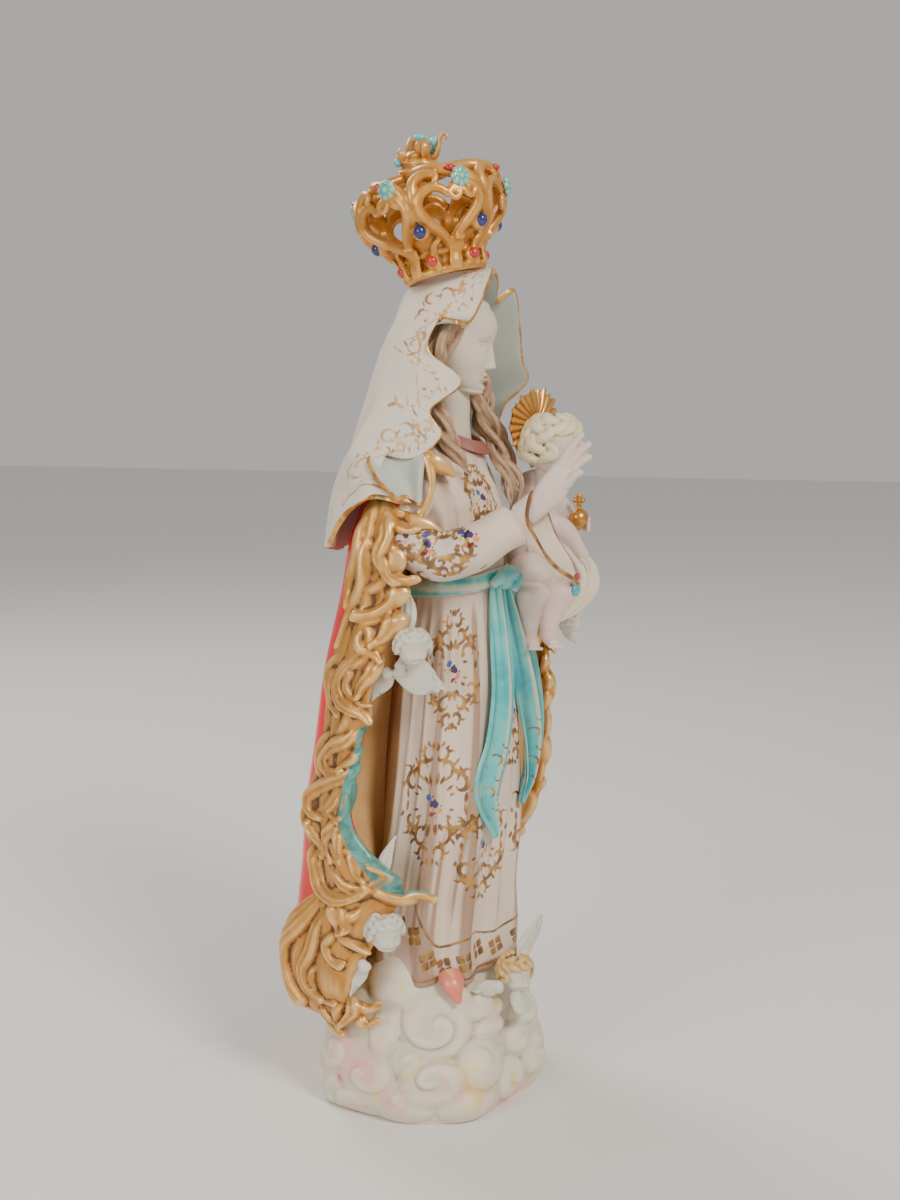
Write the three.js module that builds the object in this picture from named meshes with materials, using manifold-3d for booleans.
// A painted ceramic Madonna and Child on a cloud base, with an open gilded crown that rests on her veil.
// Millimetres, +Z up. The Madonna looks along -Y, so her right hand is on the -X side and the child on +X.
// Shapes are worked out about the upright line through the middle of her base, and the finished group
// is moved so that the origin lies under the middle of the whole statue, at the level it stands on.

import * as THREE from "three";
import { mergeVertices } from "three/addons/utils/BufferGeometryUtils.js";
import Module from "manifold-3d";

const wasm = await Module();
wasm.setup();

// Driving dimensions
const CLOUD_TOP = 92; // where the clouds end under the hem
const CLOUD_HALF_WIDTH = 90;
const CLOUD_HALF_DEPTH = 79;
const HEM_HEIGHT = 93;
const WAIST_HEIGHT = 356;
const SHOULDER_HEIGHT = 438;
const HEAD_CENTRE = [0, -26, 513];
const CLOAK_WALL = 5;
const VEIL_WALL = 3.4;
const CROWN_SEAT = [0, -12, 558]; // middle of the ring's lower edge
const CROWN_TILT = 11; // degrees, leaning back
const CROWN_HEIGHT = 95;
const CROWN_RADIUS = 48;
const SEAT_GAP = 0.3;
const CHILD_TURN = 25; // degrees, how far the child looks to the Madonna's right

const IVORY = new THREE.Color(0.83, 0.77, 0.71);
const GOLD = new THREE.Color(0.78, 0.55, 0.22);

const WELD = 1e-3; // points closer than this are one point
const TURN = Math.PI * 2;
const rad = THREE.MathUtils.degToRad;
const vec = (p) => new THREE.Vector3(p[0], p[1], p[2]);

// A smooth value between the rows of a table, whose first column rises.
function between(table, at, column = 1) {
  const last = table.length - 1;
  if (at <= table[0][0]) return table[0][column];
  if (at >= table[last][0]) return table[last][column];
  const k = table.findIndex((row) => row[0] > at) - 1;
  const share = (at - table[k][0]) / (table[k + 1][0] - table[k][0]);
  return THREE.MathUtils.lerp(table[k][column], table[k + 1][column], share * share * (3 - 2 * share));
}

// A closed mesh as a solid. A shape that was built inside out is turned round.
function solidOf(geometry) {
  const bare = geometry.index ? geometry.toNonIndexed() : geometry.clone();
  const skin = new THREE.BufferGeometry().setAttribute("position", bare.attributes.position);
  const merged = mergeVertices(skin, WELD);
  const corners = Uint32Array.from(merged.index.array);
  const at = merged.attributes.position;
  const [a, b, c] = [new THREE.Vector3(), new THREE.Vector3(), new THREE.Vector3()];
  let volume = 0;
  for (let i = 0; i < corners.length; i += 3) {
    a.fromBufferAttribute(at, corners[i]);
    b.fromBufferAttribute(at, corners[i + 1]);
    c.fromBufferAttribute(at, corners[i + 2]);
    volume += a.dot(b.cross(c));
  }
  if (volume < 0) {
    for (let i = 0; i < corners.length; i += 3) [corners[i], corners[i + 1]] = [corners[i + 1], corners[i]];
  }
  return new wasm.Manifold(new wasm.Mesh({ numProp: 3, vertProperties: at.array, triVerts: corners }));
}

function geometryOf(solid) {
  const mesh = solid.getMesh();
  const geometry = new THREE.BufferGeometry();
  geometry.setAttribute("position", new THREE.BufferAttribute(mesh.vertProperties, 3));
  geometry.setIndex(new THREE.BufferAttribute(mesh.triVerts, 1));
  geometry.computeVertexNormals();
  return geometry;
}

// Everything that is fused into one piece, without the closed pockets that fusing leaves inside.
function fused(solids) {
  const whole = solids.reduce((sum, solid) => sum.add(solid));
  const bodies = whole.decompose().sort((a, b) => b.volume() - a.volume());
  return bodies[0];
}

function trianglesOf(points, quads) {
  const flat = [];
  for (const [a, b, c, d] of quads) {
    const corners = d === undefined ? [a, b, c] : [a, b, c, a, c, d];
    for (const k of corners) flat.push(points[k].x, points[k].y, points[k].z);
  }
  return new THREE.BufferGeometry().setAttribute("position", new THREE.Float32BufferAttribute(flat, 3));
}

// A closed skin over a stack of rings with equal numbers of points, capped at both ends.
function loft(rings) {
  const count = rings[0].length;
  const points = rings.flat();
  const faces = [];
  for (let i = 0; i + 1 < rings.length; i++) {
    for (let j = 0; j < count; j++) {
      const k = (j + 1) % count;
      faces.push([i * count + j, i * count + k, (i + 1) * count + k, (i + 1) * count + j]);
    }
  }
  for (const [ring, flip] of [[0, true], [rings.length - 1, false]]) {
    const middle = points.length;
    points.push(rings[ring].reduce((sum, p) => sum.add(p), new THREE.Vector3()).divideScalar(count));
    for (let j = 0; j < count; j++) {
      const [a, b] = [ring * count + j, ring * count + ((j + 1) % count)];
      faces.push(flip ? [b, a, middle] : [a, b, middle]);
    }
  }
  return solidOf(trianglesOf(points, faces));
}

// A plate between an outer and an inner grid of points, closed along its four edges.
function plate(outer, inner) {
  const [rows, columns] = [outer.length, outer[0].length];
  const points = [...outer.flat(), ...inner.flat()];
  const top = (i, j) => i * columns + j;
  const under = (i, j) => rows * columns + i * columns + j;
  const faces = [];
  for (let i = 0; i + 1 < rows; i++) {
    for (let j = 0; j + 1 < columns; j++) {
      faces.push([top(i, j), top(i, j + 1), top(i + 1, j + 1), top(i + 1, j)]);
      faces.push([under(i, j), under(i + 1, j), under(i + 1, j + 1), under(i, j + 1)]);
    }
    faces.push([top(i, 0), top(i + 1, 0), under(i + 1, 0), under(i, 0)]);
    const last = columns - 1;
    faces.push([top(i + 1, last), top(i, last), under(i, last), under(i + 1, last)]);
  }
  for (let j = 0; j + 1 < columns; j++) {
    faces.push([top(0, j + 1), top(0, j), under(0, j), under(0, j + 1)]);
    const last = rows - 1;
    faces.push([top(last, j), top(last, j + 1), under(last, j + 1), under(last, j)]);
  }
  return solidOf(trianglesOf(points, faces));
}

// The same grid set back along its own normals by a wall's thickness.
function setBack(grid, wall) {
  const clamp = (i, n) => Math.min(Math.max(i, 0), n - 1);
  return grid.map((row, i) =>
    row.map((point, j) => {
      const along = grid[i][clamp(j + 1, row.length)].clone().sub(grid[i][clamp(j - 1, row.length)]);
      const down = grid[clamp(i + 1, grid.length)][j].clone().sub(grid[clamp(i - 1, grid.length)][j]);
      return point.clone().addScaledVector(along.cross(down).normalize(), wall);
    }),
  );
}

// A limb, lock or cord-like roll: rings of changing radius along a smooth line through the given points.
function roll(points, radii, { sides = 6, steps = 6, flat = 1, face = [0, 0, 1] } = {}) {
  const line = new THREE.CatmullRomCurve3(points.map(vec), false, "centripetal");
  const rings = [];
  for (let i = 0; i <= steps; i++) {
    const share = i / steps;
    const middle = line.getPoint(share);
    const ahead = line.getTangent(share);
    const side = new THREE.Vector3().crossVectors(ahead, vec(face)).normalize();
    const out = new THREE.Vector3().crossVectors(side, ahead).normalize();
    const place = share * (radii.length - 1);
    const k = Math.min(Math.floor(place), radii.length - 2);
    const radius = THREE.MathUtils.lerp(radii[k], radii[k + 1], place - k);
    rings.push(
      Array.from({ length: sides }, (_, j) => {
        const angle = (TURN * j) / sides;
        return middle
          .clone()
          .addScaledVector(side, radius * Math.cos(angle))
          .addScaledVector(out, radius * flat * Math.sin(angle));
      }),
    );
  }
  return loft(rings);
}

// An egg or ball with the given number of facets, turned about Z.
function ball(centre, half, { facets = 20, turn = 0 } = {}) {
  const shapes = {
    8: () => new THREE.OctahedronGeometry(1, 0),
    20: () => new THREE.IcosahedronGeometry(1, 0),
    48: () => new THREE.SphereGeometry(1, 8, 4).rotateX(Math.PI / 2),
  };
  const geometry = shapes[facets]();
  geometry.scale(half[0], half[1], half[2]);
  geometry.rotateZ(rad(turn));
  geometry.translate(centre[0], centre[1], centre[2]);
  return solidOf(geometry);
}

// The cloud base: a lobed mound with round puffs and rolled volutes

function cloudEdge(angle, share = 1) {
  const reach = share * (1 + 0.035 * Math.cos(5 * angle + 0.6) + 0.02 * Math.cos(8 * angle));
  return [CLOUD_HALF_WIDTH * reach * Math.cos(angle), CLOUD_HALF_DEPTH * reach * Math.sin(angle)];
}

// Height and share of the foot's outline that the mound fills there
const CLOUD_RISE = [[0, 0.97], [8, 1], [30, 0.93], [54, 0.78], [76, 0.66], [CLOUD_TOP, 0.58]];

function cloudMound() {
  const around = 20;
  return loft(
    CLOUD_RISE.map(([height, share]) =>
      Array.from({ length: around }, (_, j) => vec([...cloudEdge((TURN * j) / around, share), height])),
    ),
  );
}

// Bearing from +X in degrees, share of the way out, height, radius
const PUFFS = [
  [216, 0.8, 31, 19],
  [228, 0.85, 52, 10],
  [178, 0.86, 27, 18],
  [272, 0.82, 34, 19],
  [330, 0.82, 30, 20],
];

function cloudPuffs() {
  return PUFFS.map(([bearing, share, height, radius]) => {
    const middle = [...cloudEdge(rad(bearing), share), height];
    return ball(middle, [radius, radius, radius], { facets: 48, turn: bearing });
  });
}

// A rolled cloud curl that lies on the mound: a spiral that tightens towards its middle.
function volute(bearing, height, radius, hand = 1) {
  const angle = rad(bearing);
  const outward = vec([Math.cos(angle), Math.sin(angle), 0.4]).normalize();
  const across = vec([-Math.sin(angle) * hand, Math.cos(angle) * hand, 0]);
  const up = outward.clone().cross(across).multiplyScalar(hand);
  const middle = vec([...cloudEdge(angle, between(CLOUD_RISE, height)), height]);
  const points = Array.from({ length: 8 }, (_, k) => {
    const round = -2.4 + k * 0.95;
    const reach = radius * (1 - k / 9);
    return middle
      .clone()
      .addScaledVector(across, reach * Math.cos(round))
      .addScaledVector(up, reach * Math.sin(round))
      .addScaledVector(outward, 0.5 * k - 1)
      .toArray();
  });
  return roll(points, [2, 5.5, 5.5, 5, 3.5], { sides: 4, steps: 7, face: outward.toArray() });
}

// The gown: a fluted bell under a fitted bodice, with the band of the sash round its waist

// Height, half width, half depth, middle along Y, depth of the folds
const GOWN = [
  [HEM_HEIGHT - 3, 65, 46, -9, 6],
  [HEM_HEIGHT + 14, 63, 45, -9, 6],
  [142, 58, 44, -10, 5.4],
  [190, 54, 44, -13, 4.6],
  [240, 51, 43, -15, 3.8],
  [290, 47, 40, -17, 3],
  [328, 42, 35, -18, 2],
  [WAIST_HEIGHT - 8, 38, 31, -19, 1],
  [WAIST_HEIGHT - 6, 42, 35, -19, 0],
  [WAIST_HEIGHT + 6, 42, 35, -19, 0],
  [WAIST_HEIGHT + 8, 38, 31, -19, 1],
  [380, 41, 33, -17, 1],
  [410, 47, 35, -12, 1],
  [SHOULDER_HEIGHT, 46, 28, -9, 0],
  [459, 20, 17, -19, 0],
];

function gownPoint(angle, height) {
  const [width, depth, middle, fold] = [1, 2, 3, 4].map((column) => between(GOWN, height, column));
  const flute = 0.75 * Math.cos(8 * angle + 0.9 * Math.sin(2 * angle)) + 0.25 * Math.cos(13 * angle + 0.8);
  const knee = Math.exp(-(((height - 195) / 42) ** 2) - ((angle - 5.25) / 0.38) ** 2);
  const out = fold * flute + 7 * knee;
  const tilt = 5 * Math.sin(angle) * Math.exp(-(((height - WAIST_HEIGHT) / 60) ** 2));
  return vec([(width + out) * Math.cos(angle), middle + (depth + out) * Math.sin(angle), height - tilt]);
}

function gown() {
  const around = 24;
  const heights = GOWN.map((row) => row[0]);
  return loft(
    heights.map((height) => Array.from({ length: around }, (_, j) => gownPoint((TURN * j) / around, height))),
  );
}

// The sash's knot at her right front, and its two hanging tails
function tail(points, widths) {
  return roll(points, widths, { sides: 4, steps: 6, flat: 0.45, face: [-0.35, -1, 0] });
}

function sash() {
  return [
    ball([-15, -57, 360], [10, 8, 8], { facets: 48, turn: 20 }),
    tail(
      [[-17, -54, 354], [-21, -59, 318], [-25, -61, 284], [-31, -58, 248], [-36, -53, 217], [-31, -55, 186]],
      [7, 7, 9, 10, 11, 1.5],
    ),
    tail(
      [[-9, -57, 352], [1, -64, 318], [9, -68, 282], [12, -70, 248], [6, -70, 222], [-4, -66, 202]],
      [6, 10, 13, 13, 9, 2],
    ),
  ];
}

// The cloak: a stiff mantle that hangs from her shoulders, open in front, with a raised gilded border

// Height, half width, reach behind, angle of her right edge and of her left edge from the back, in degrees
const CLOAK = [
  [60, 76, 92, 74, 76],
  [78, 81, 98, 84, 84],
  [106, 82, 96, 88, 90],
  [132, 80, 90, 92, 98],
  [164, 80, 86, 87, 116],
  [205, 81, 84, 70, 128],
  [250, 78, 78, 73, 132],
  [302, 75, 71, 78, 131],
  [350, 72, 58, 87, 118],
  [392, 70, 47, 88, 100],
  [418, 61, 37, 90, 94],
];
const CLOAK_BEFORE = 94; // how far the left side reaches round to the front
const CLOAK_CORNER = 0.8; // below 1, the outline from above is fuller than an ellipse
const LEAF_RISE = 34; // from one leaf of the border to the next
const HEM_LEAVES = 4;

function cloakPoint(angle, height, out = 0) {
  const [width, behind] = [1, 2].map((column) => between(CLOAK, height, column));
  const full = (part) => Math.sign(part) * Math.abs(part) ** CLOAK_CORNER;
  const [across, along] = [full(Math.sin(angle)), full(Math.cos(angle))];
  const fold = between([[60, 4.5], [250, 3.2], [400, 1.5]], height) * Math.cos(9 * angle + 0.6);
  const reach = along < 0 ? CLOAK_BEFORE : behind;
  const swell = out + fold * Math.max(0, along);
  return vec([-(width + swell) * across, (reach + swell) * along, height]);
}

function cloakEdgeAngle(side, height, back = 0) {
  return side * rad(between(CLOAK, height, side > 0 ? 3 : 4) - back);
}

function cloak() {
  const across = 10;
  const grid = (out, thick) =>
    CLOAK.map(([height]) => {
      const [left, right] = [-1, 1].map((side) => cloakEdgeAngle(side, height));
      return Array.from({ length: across + 1 }, (_, j) => {
        const point = cloakPoint(THREE.MathUtils.lerp(left, right, j / across), height, out);
        return point.lerp(vec([0, 0, height]), thick(Math.min(j, across - j)));
      });
    });
  // Away from its free edges the mantle is modelled onto the gown, so its wall is thick there.
  return plate(
    grid(0, () => 0),
    grid(-CLOAK_WALL, (fromEdge) => [0, 0.15, 0.5][fromEdge] ?? 0.74),
  );
}

// One carved leaf of the gilded border. It springs from the band's inner side, or from the hem's upper one,
// bellies backwards and flows down to a lifted tip at the free edge.
function leaf(from, to, height, { length = 42, width = 11, lift = 5.5 } = {}) {
  const middle = (from + to) / 2;
  const at = (share, drop, out) => {
    const angle = THREE.MathUtils.lerp(from, to, share);
    return cloakPoint(angle, height - drop * length, out).toArray();
  };
  const outward = cloakPoint(middle, height, 1).sub(cloakPoint(middle, height)).toArray();
  const line = [at(0.3, -0.05, 1), at(-0.1, 0.3, 3), at(0.3, 0.66, 3.5), at(1, 1, lift)];
  return roll(line, [3.5, width, width * 0.8, 2.2], { sides: 4, steps: 3, flat: 0.5, face: outward });
}

function border() {
  const leaves = [];
  const [nearEdge, farEdge] = [[1, 410, 9], [-1, 318, 5]];
  for (const [side, top, count] of [nearEdge, farEdge]) {
    for (let k = 0; k < count; k++) {
      const height = top - LEAF_RISE * k;
      const [inside, outside] = [15, 1].map((back) => cloakEdgeAngle(side, height, back));
      leaves.push(leaf(inside, outside, height));
    }
  }
  for (let k = 0; k < HEM_LEAVES; k++) {
    const from = rad(THREE.MathUtils.lerp(-70, 64, k / (HEM_LEAVES - 1)));
    leaves.push(leaf(from, from + 0.2, 98, { length: 42, width: 15, lift: 5 }));
  }
  return leaves;
}

// The veil: a hood with a ruffled rim, which falls to a point behind each shoulder

// From her right shoulder up to the top of the hood, and down to the left one
const VEIL_RIM = [
  [-72, 15, 419], [-66, -6, 413], [-65, 14, 426], [-58, 22, 445], [-56, -4, 441], [-48, -21, 455],
  [-46, -14, 472], [-41, -33, 490], [-39, -10, 510], [-36, -18, 530], [-29, -35, 528], [-14, -44, 553],
  [0, -44, 562],
  [14, -44, 556], [29, -40, 544], [37, -50, 551], [44, -52, 530], [46, -54, 504], [49, -57, 490],
  [47, -42, 474], [52, -34, 460], [55, -14, 446], [60, 6, 440], [66, -4, 424], [71, 15, 418],
];
// From the rim backwards: each row runs from her right shoulder over the head to the left one.
const VEIL_ROWS = [
  [
    [-72, 21, 416], [-62, 14, 442], [-47, -2, 478], [-39, -4, 521], [0, -31, 561],
    [40, -12, 521], [49, -12, 478], [62, 12, 442], [72, 21, 416],
  ],
  [
    [-71, 29, 411], [-62, 30, 438], [-48, 17, 478], [-36, 8, 524], [0, -10, 558],
    [36, 8, 524], [48, 17, 478], [62, 30, 438], [71, 29, 411],
  ],
  [
    [-68, 39, 404], [-57, 45, 428], [-43, 36, 470], [-29, 27, 514], [0, 17, 549],
    [29, 27, 514], [43, 36, 470], [57, 45, 428], [68, 39, 404],
  ],
  [
    [-65, 47, 394], [-50, 57, 408], [-35, 54, 438], [-20, 45, 472], [0, 39, 492],
    [20, 45, 472], [35, 54, 438], [50, 57, 408], [65, 47, 394],
  ],
  [
    [-61, 52, 385], [-46, 62, 380], [-31, 68, 377], [-16, 71, 375], [0, 72, 375],
    [16, 71, 375], [31, 68, 377], [46, 62, 380], [61, 52, 385],
  ],
];

function veil() {
  const across = VEIL_RIM.length - 1;
  const down = [0, 0.2, 0.5, 0.8, 1];
  const smooth = (points) => new THREE.CatmullRomCurve3(points, false, "centripetal");
  const curves = [VEIL_RIM, ...VEIL_ROWS].map((row) => smooth(row.map(vec)));
  const columns = Array.from({ length: across + 1 }, (_, j) => {
    const run = smooth(curves.map((curve) => curve.getPoint(j / across)));
    return down.map((share) => run.getPoint(share));
  });
  const outer = down.map((_, i) => columns.map((column) => column[i]));
  return plate(outer, setBack(outer, -VEIL_WALL));
}

// Head, neck and hair

// Height above the head's centre, half width, half depth and shift backwards, from the chin to the crown
const HEAD_RINGS = [
  [-37, 5, 6, -17],
  [-32, 12, 12, -13],
  [-21, 18, 20, -7],
  [-9, 21.5, 25, -3],
  [3, 23.5, 28, 0],
  [15, 24, 30, 1],
  [27, 19, 24, 2],
  [35, 9, 12, 2],
];

// A head from rings like those above, turned about its upright line by a bearing and scaled.
function skull([x, y, z], rings, { around = 10, scale = 1, bearing = 0 } = {}) {
  const turned = vec([0, 0, 1]);
  return loft(
    rings.map(([rise, width, depth, shift]) =>
      Array.from({ length: around }, (_, j) => {
        const angle = (TURN * (j + 0.5)) / around;
        return vec([width * Math.cos(angle), shift + depth * Math.sin(angle), rise])
          .multiplyScalar(scale)
          .applyAxisAngle(turned, -rad(bearing))
          .add(vec([x, y, z]));
      }),
    ),
  );
}

function head() {
  const [x, y, z] = HEAD_CENTRE;
  const front = y - 26;
  const ridge = [[x, front, z + 7], [x, front - 6, z - 8], [x, front + 3, z - 11]];
  const nose = roll(ridge, [1.8, 3.4, 2], { sides: 4, steps: 2 });
  const lips = ball([x, front + 4, z - 18], [6, 4, 3.4], { facets: 8 });
  const neck = roll([[0, -15, 448], [0, -19, 466], [0, -22, 488]], [18, 13, 13], { sides: 7, steps: 2 });
  return [skull(HEAD_CENTRE, HEAD_RINGS), nose, lips, neck];
}

// On each side a wave frames the face under the hood, and falls over the collar onto the breast.
function hair() {
  const wave = [
    [5, -43, 547], [21, -34, 530], [26, -23, 500], [28, -23, 468],
    [25, -35, 447], [31, -43, 430], [26, -46, 406],
  ];
  return [1, -1].map((side) =>
    roll(wave.map(([x, y, z]) => [side * x, y, z]), [2, 7, 8.5, 9, 8, 2], { sides: 4, steps: 7 }),
  );
}

// Arms: her right hand is raised, and her left arm carries the child

function rightArm() {
  const arm = roll(
    [[-36, -6, 438], [-52, -4, 418], [-60, 0, 388], [-61, -22, 379], [-57, -52, 388], [-48, -76, 402]],
    [12, 15, 17, 17, 14.5, 12],
    { sides: 7, steps: 7, face: [1, 0, 0] },
  );
  // The bell of the sleeve: its rim is a tear shape whose point hangs low in front.
  const rim = [
    [-45, -81, 420], [-54, -80, 405], [-53, -88, 386], [-41, -102, 368],
    [-30, -109, 360], [-25, -101, 375], [-27, -91, 397], [-34, -84, 415],
  ].map(vec);
  const throat = vec([-47, -72, 400]);
  const cuff = loft([
    rim.map((p) => p.clone().lerp(throat, 0.75).add(vec([0, 8, 0]))),
    rim.map((p) => p.clone().lerp(throat, 0.3)),
    rim,
  ]);
  return [arm, cuff, ...raisedHand()];
}

function raisedHand() {
  const palm = roll(
    [[-46, -78, 404], [-42, -88, 415], [-39, -97, 429], [-38, -100, 435]],
    [7, 7.5, 9.5, 8],
    { sides: 6, steps: 3, flat: 0.62, face: [1, 0, 0] },
  );
  const tips = [[-32, -111, 457], [-33, -115, 450], [-36, -116, 443], [-41, -111, 434]];
  const knuckles = [[-37, -97, 437], [-37, -100, 434], [-38, -102, 430], [-40, -102, 424]];
  const fingers = tips.map((tip, k) => roll([knuckles[k], tip], [3.6, 2.2], { sides: 4, steps: 1 }));
  const thumb = [[-37, -90, 421], [-28, -96, 430], [-27, -99, 439]];
  return [palm, ...fingers, roll(thumb, [4, 3.2, 2], { sides: 4, steps: 2 })];
}

function leftArm() {
  const arm = roll(
    [[36, -6, 438], [54, -4, 416], [62, -6, 384], [62, -26, 363], [58, -52, 355], [49, -76, 350]],
    [12, 15, 17, 17, 14.5, 12],
    { sides: 6, steps: 6, face: [1, 0, 0] },
  );
  const palm = [[48, -76, 348], [36, -90, 347], [22, -97, 350]];
  return [arm, roll(palm, [11, 12, 6], { sides: 6, steps: 2, flat: 0.45 })];
}

// The child, seated on her left arm, with a rayed halo, a globe and a loincloth

const CHILD_SEAT = [30, -64, 366];
const CHILD_HEAD = [21, -80, 448];
const GLOBE = [31, -97, 397];
const childAhead = vec([-Math.sin(rad(CHILD_TURN)), -Math.cos(rad(CHILD_TURN)), 0]);
const childRight = vec([-Math.cos(rad(CHILD_TURN)), Math.sin(rad(CHILD_TURN)), 0]);

// A point given by steps ahead of, to the right of and above another one, as the child faces.
function fromChild(start, ahead, right, up) {
  return vec(start)
    .addScaledVector(childAhead, ahead)
    .addScaledVector(childRight, right)
    .add(vec([0, 0, up]))
    .toArray();
}

function childBody() {
  const spine = [[-2, -12], [2, 12], [2, 34], [2, 54]].map(([fore, up]) => fromChild(CHILD_SEAT, fore, 0, up));
  const rightArmLine = [[5, -64, 410], [1, -74, 400], [8, -90, 392], [18, -104, 371]];
  const leftArmLine = [[37, -78, 410], [43, -86, 398], [40, -96, 390], [33, -98, 392]];
  const neckLine = [fromChild(CHILD_SEAT, 4, 0, 50), fromChild(CHILD_HEAD, -5, 0, -12)];
  return [
    roll(spine, [12, 19, 18, 11], { sides: 6, steps: 3, flat: 0.85, face: childAhead.toArray() }),
    roll(rightArmLine, [7.5, 7.5, 6.5, 4.5], { sides: 5, steps: 4 }),
    roll(leftArmLine, [7.5, 7.5, 6, 4.5], { sides: 5, steps: 4 }),
    ball([19, -107, 368], [5, 6, 5]),
    ball([33, -100, 393], [6, 5.5, 7]),
    roll(neckLine, [9, 8.5], { sides: 6, steps: 1 }),
  ];
}

function childLeg(hip, knee, ankle, toes) {
  const thigh = [(hip[0] + knee[0]) / 2, (hip[1] + knee[1]) / 2, knee[2] + 6];
  const calf = [knee[0] - 2, knee[1], (knee[2] + ankle[2]) / 2];
  const line = [hip, thigh, knee, calf, ankle, toes];
  return roll(line, [13, 13.5, 11.5, 10, 6.5, 4], { sides: 6, steps: 7, face: [1, 0.4, 0] });
}

// As the Madonna's rings, with the curls' thickness over the brow and behind
const SMALL_HEAD_RINGS = [
  [-17, 5, 5, -7],
  [-12, 12, 12, -5],
  [-1, 17, 18, 0],
  [5, 20, 20, 2],
  [15, 16, 17, 1],
  [20, 7, 8, 0],
];

function childHead() {
  return [
    skull(CHILD_HEAD, SMALL_HEAD_RINGS, { bearing: CHILD_TURN }),
    ball(fromChild(CHILD_HEAD, 18, 0, -4), [2.6, 3.4, 3.2], { facets: 8 }),
    ball(fromChild(CHILD_HEAD, -12, 13, -4), [8, 7, 10], { facets: 8, turn: 20 }),
    ball(fromChild(CHILD_HEAD, -12, -13, -4), [8, 7, 10], { facets: 8, turn: 20 }),
  ];
}

// The halo: a gilded disc whose edge runs out into rays.
function halo() {
  const rays = 11;
  const [inside, outside] = [23, 29];
  const middle = vec(fromChild(CHILD_HEAD, -13, 0, 12));
  const ring = (depth) =>
    Array.from({ length: rays * 2 }, (_, k) => {
      const angle = (Math.PI * k) / rays;
      const reach = k % 2 ? outside : inside;
      return middle
        .clone()
        .addScaledVector(childRight, reach * Math.cos(angle))
        .add(vec([0, 0, reach * Math.sin(angle)]))
        .addScaledVector(childAhead, depth);
    });
  return loft([ring(-2), ring(2)]);
}

function globe() {
  const [x, y, z] = GLOBE;
  return [
    ball(GLOBE, [6.8, 6.8, 6.8]),
    roll([[x, y, z + 4], [x, y, z + 17]], [1.8, 1.8], { sides: 4, steps: 1, face: [0, 1, 0] }),
    roll([fromChild(GLOBE, 0, -4.5, 12), fromChild(GLOBE, 0, 4.5, 12)], [1.7, 1.7], { sides: 4, steps: 1 }),
  ];
}

function loincloth() {
  const wrap = [[10, 19, 4], [20, 4, 4], [16, -12, 6], [2, -21, 2]].map((step) => fromChild(CHILD_SEAT, ...step));
  const fall = [[44, -84, 376], [45, -105, 366], [38, -111, 350], [26, -98, 335]];
  return [
    roll(wrap, [7, 8, 9, 8], { sides: 5, steps: 4, flat: 0.8 }),
    roll(fall, [9, 13, 12, 4], { sides: 6, steps: 4, flat: 0.55, face: [0.5, -1, 0] }),
  ];
}

// Cherubs: a head with curls, a pair of wings and a collar of feathers

// Its wings climb at the given angles from upright, her right-hand one first.
function cherub([x, y, z], facing, size, wings, wingLength, collared = false) {
  const bearing = rad(facing);
  const ahead = vec([-Math.sin(bearing), -Math.cos(bearing), 0]);
  const right = vec([-Math.cos(bearing), Math.sin(bearing), 0]);
  const at = (before, aside, up) =>
    vec([x, y, z])
      .addScaledVector(ahead, before * size)
      .addScaledVector(right, aside * size)
      .add(vec([0, 0, up * size]))
      .toArray();
  const feathers = wings.map((climb, k) => {
    const side = k ? -1 : 1;
    const [out, up] = [side * Math.sin(rad(climb)), Math.cos(rad(climb))];
    const reach = (share) => at(-0.5, 0.6 * side + wingLength * share * out, -0.6 + wingLength * share * up);
    return roll(
      [reach(-0.1), reach(0.5), reach(1)],
      [size * 0.5, size * 0.75, size * 0.3],
      { sides: 4, steps: 2, flat: 0.45, face: ahead.toArray() },
    );
  });
  const collar = loft(
    [[-1.5, 0.9, 1.25], [-0.9, 0.7, 1]].map(([rise, narrow, wide]) =>
      Array.from({ length: 8 }, (_, j) => {
        const [reach, angle] = [j % 2 ? wide : narrow, (TURN * j) / 8];
        return vec(at(0.1 + reach * Math.cos(angle), reach * Math.sin(angle), rise));
      }),
    ),
  );
  const bust = skull([x, y, z], SMALL_HEAD_RINGS, { around: 7, scale: size / 17, bearing: facing });
  return collared ? [bust, collar, ...feathers] : [bust, ...feathers];
}

function cherubs() {
  return [
    ...cherub([-74, -9, 321], 60, 10.5, [25, 110], 3),
    ...cherub([-83, 10, 132], 50, 11.5, [150, 25], 3.4),
    ...cherub([-26, -67, 89], 35, 11.5, [100, 30], 2.9, true),
    ...cherub([58, -84, 322], -35, 10.5, [60, 70], 2.4),
  ];
}

function shoe() {
  return roll([[-58, -30, 98], [-66, -36, 88], [-70, -42, 80]], [8, 8, 3], { sides: 7, steps: 3, flat: 0.8 });
}

function statue() {
  return fused([
    cloudMound(),
    ...cloudPuffs(),
    volute(196, 62, 21),
    volute(350, 55, 21, -1),
    gown(),
    ...sash(),
    cloak(),
    ...border(),
    veil(),
    ...head(),
    ...hair(),
    ...rightArm(),
    ...leftArm(),
    ...childBody(),
    childLeg(fromChild(CHILD_SEAT, 4, 9, 0), [4, -70, 354], [8, -68, 321], [0, -73, 311]),
    childLeg(fromChild(CHILD_SEAT, 6, -9, 0), [18, -90, 353], [11, -81, 322], [-1, -87, 313]),
    ...childHead(),
    halo(),
    ...globe(),
    ...loincloth(),
    ...cherubs(),
    shoe(),
  ]);
}

// The crown, drawn upright about its own axis with its lower edge at height 0

const CROWN_LOBES = 6;
const LOBE_ANGLE = 360 / CROWN_LOBES;
const RING_HEIGHT = 17;
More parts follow.
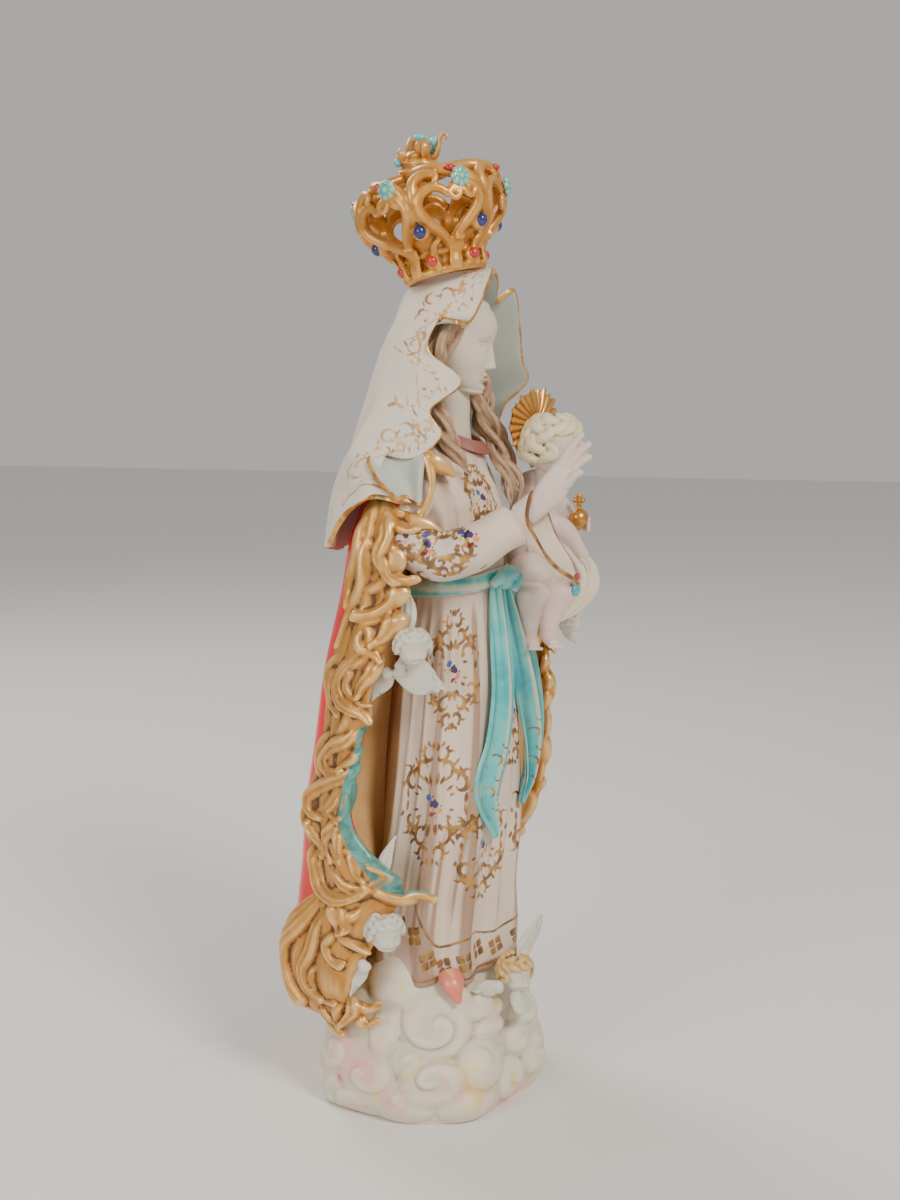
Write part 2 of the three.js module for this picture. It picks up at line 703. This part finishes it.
// Height and radius of the wall's outer face
const CROWN_PROFILE = [
  [0, 26],
  [RING_HEIGHT, 27],
  [22, 33],
  [30, 42],
  [38, 47],
  [45, CROWN_RADIUS],
  [54, 46],
  [62, 41],
  [70, 31],
  [76, 16],
];
const CROWN_WALL = 3.6;
// The ring's two raised bands, from its top outside to its top inside: height, and step out from the wall
const RING_PROFILE = [
  [RING_HEIGHT, 0],
  [13, 3],
  [9, 0],
  [4, 3],
  [0, 2],
  [0, -CROWN_WALL],
  [RING_HEIGHT, -CROWN_WALL],
];
const HEART_LOW = 24;
const HEART_HIGH = 62;
const HEART_ANGLE = 26; // half of its width, as seen from the axis
const HEART_RIM = 3.4;

function onCrown(bearing, height, out = 0) {
  const reach = between(CROWN_PROFILE, height) + out;
  return vec([reach * Math.sin(rad(bearing)), -reach * Math.cos(rad(bearing)), height]);
}

// A point of a heart's outline, shrunk towards its middle, on the wall of the bowl. The outline is the usual
// heart curve, scaled to run from -1 to 1 each way.
function heartPoint(bearing, share, shrink, out) {
  const angle = TURN * share;
  const across = Math.sin(angle) ** 3;
  const waves = [13, -5, -2, -1].map((size, k) => size * Math.cos((k + 1) * angle));
  const up = (waves.reduce((sum, wave) => sum + wave) + 2.5) / 14.5;
  const middle = (HEART_LOW + HEART_HIGH) / 2;
  const half = (HEART_HIGH - HEART_LOW) / 2;
  return onCrown(bearing + across * HEART_ANGLE * shrink, middle + half * up * shrink, out);
}

// The crown's body is one wall: a grooved ring below, and above it a bowl that is pierced by a heart with a
// raised rim in each lobe.
function crownWall() {
  const half = LOBE_ANGLE / 2;
  const faces = [];
  const points = [];
  const quad = (a, b, c, d) => {
    faces.push([0, 1, 2, 3].map((k) => points.length + k));
    points.push(a, b, c, d);
  };
  // A lobe's outer limit, point by point beside the heart's outline, both of which start at the notch.
  const down = [[0, 58], [16, 65], [27, 60], [half, 44], [half, RING_HEIGHT]];
  const right = [...down, [half / 2, RING_HEIGHT], [0, RING_HEIGHT]];
  const limit = [...right, ...right.slice(1, -1).toReversed().map(([b, h]) => [-b, h])];
  const steps = limit.length;
  for (let lobe = 0; lobe < CROWN_LOBES; lobe++) {
    const bearing = LOBE_ANGLE * lobe;
    const edge = (out) => limit.map(([b, h]) => onCrown(bearing + b, h, out));
    const rim = (shrink, out) => limit.map((_, j) => heartPoint(bearing, j / steps, shrink, out));
    const layers = [edge(0), rim(1, 0), rim(0.82, HEART_RIM), rim(0.72, -CROWN_WALL), edge(-CROWN_WALL)];
    const [outside, inside] = [layers[0], layers[layers.length - 1]];
    for (let j = 0; j < steps; j++) {
      const k = (j + 1) % steps;
      for (let n = 0; n + 1 < layers.length; n++) {
        quad(layers[n][j], layers[n][k], layers[n + 1][k], layers[n + 1][j]);
      }
      const meetsLobe = Math.abs(limit[j][0]) === half && Math.abs(limit[k][0]) === half;
      const meetsRing = limit[j][1] === RING_HEIGHT && limit[k][1] === RING_HEIGHT;
      if (meetsRing) {
        const turns = [limit[k][0], limit[j][0]].map((b) => bearing + b);
        const strips = RING_PROFILE.map(([h, out]) => turns.map((turn) => onCrown(turn, h, out)));
        for (let n = 0; n + 1 < strips.length; n++) {
          quad(strips[n][0], strips[n][1], strips[n + 1][1], strips[n + 1][0]);
        }
      } else if (!meetsLobe) {
        quad(inside[j], inside[k], outside[k], outside[j]);
      }
    }
  }
  return solidOf(trianglesOf(points, faces));
}

function crownArch(bearing) {
  const route = [[8, 58, 0], [-4, 65, 0], [8, 72, 0], [0, 76, -6]];
  const line = route.map(([b, h, out]) => onCrown(bearing + b, h, out).toArray());
  return roll(line, [3.4, 3.2, 3], { sides: 4, steps: 3 });
}

// A bead on the ring between two hearts, and a rosette on each heart's notch
function crownStones(bearing) {
  const bead = onCrown(bearing + LOBE_ANGLE / 2, 9, 2).toArray();
  const rosette = onCrown(bearing, 60, 2.5).toArray();
  return [
    ball(bead, [4.8, 4.8, 4.8], { facets: 8, turn: bearing }),
    ball(rosette, [6.8, 4.6, 6.8], { facets: 20, turn: bearing }),
  ];
}

function crownFinial() {
  const leaves = [30, 150, 270].map((bearing) => {
    const [x, y] = [Math.sin(rad(bearing)), -Math.cos(rad(bearing))];
    const line = [[x * 5, y * 5, 76], [x * 11, y * 11, 81], [x * 10, y * 10, 89]];
    return roll(line, [3.8, 3.4, 2], { sides: 4, steps: 2 });
  });
  return [
    ball([0, 0, 76], [13, 13, 6]),
    ball([0, 0, 84], [6.5, 6.5, 8]),
    ball([0, 0, CROWN_HEIGHT - 5], [4.6, 4.6, 5.5], { facets: 8 }),
    ...leaves,
  ];
}

function crown() {
  const bearings = Array.from({ length: CROWN_LOBES }, (_, k) => LOBE_ANGLE * k);
  return fused([
    crownWall(),
    ...bearings.map(crownArch),
    ...bearings.flatMap(crownStones),
    ...crownFinial(),
  ]);
}

// Assembly

const figure = statue();
const seat = new THREE.Matrix4()
  .makeTranslation(CROWN_SEAT[0], CROWN_SEAT[1], CROWN_SEAT[2])
  .multiply(new THREE.Matrix4().makeRotationX(-rad(CROWN_TILT)));
const crownBody = solidOf(geometryOf(crown()).applyMatrix4(seat));
// The crown is bedded on the veil: it is cut by the veil's own surface, a hair above it.
const bedded = fused([crownBody.subtract(figure.translate([0, 0, SEAT_GAP])).subtract(figure)]);

const statueMesh = new THREE.Mesh(
  geometryOf(figure),
  new THREE.MeshStandardMaterial({ color: IVORY, roughness: 0.62, metalness: 0 }),
);
statueMesh.name = "statue";
const crownMesh = new THREE.Mesh(
  geometryOf(bedded),
  new THREE.MeshStandardMaterial({ color: GOLD, roughness: 0.38, metalness: 0.6 }),
);
crownMesh.name = "crown";

const madonna = new THREE.Group();
madonna.add(statueMesh, crownMesh);
const reach = new THREE.Box3().setFromObject(madonna);
madonna.position.set(-(reach.min.x + reach.max.x) / 2, -(reach.min.y + reach.max.y) / 2, -reach.min.z);

export default madonna;
